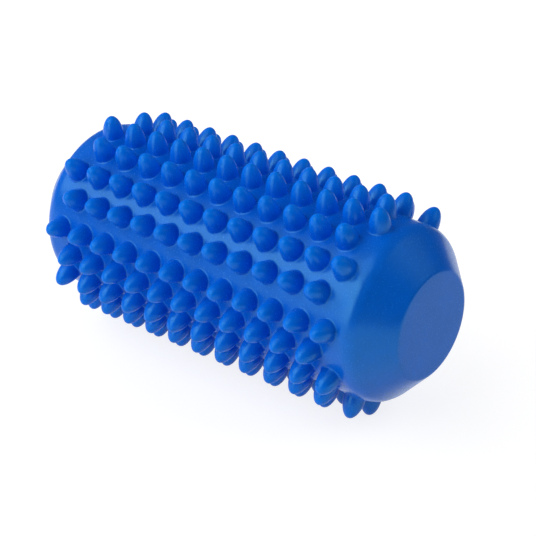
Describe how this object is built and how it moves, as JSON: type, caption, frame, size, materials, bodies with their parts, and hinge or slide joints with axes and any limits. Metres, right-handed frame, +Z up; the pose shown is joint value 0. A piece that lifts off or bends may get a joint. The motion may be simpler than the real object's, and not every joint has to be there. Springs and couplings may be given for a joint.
{
  "type": "massage roller",
  "caption": "Soft hollow massage roller: a round barrel covered with rows of blunt spikes, coned ends with flat faces, and a push-in air valve in one end.",
  "frame": {"origin": "middle of the roller's axis, halfway between the two end faces", "axes": "+X along the roller's axis towards its plain end, +Z up with the roller lying on two rows of spikes"},
  "size_m": [0.15, 0.0728, 0.0728],
  "materials": {
    "soft_pvc_blue": "satin",
    "valve_pvc_blue": "satin",
    "plug_polyethylene": "satin"
  },
  "bodies": {
    "roller": {"roller_shell": "soft_pvc_blue", "valve_seat": "valve_pvc_blue"},
    "plug": {"valve_plug": "plug_polyethylene"}
  },
  "joints": [
    {"name": "plug_pull", "type": "slide", "parent": "roller", "child": "plug", "axis": [-1, 0, 0], "range_m": [0, 0.02]}
  ]
}
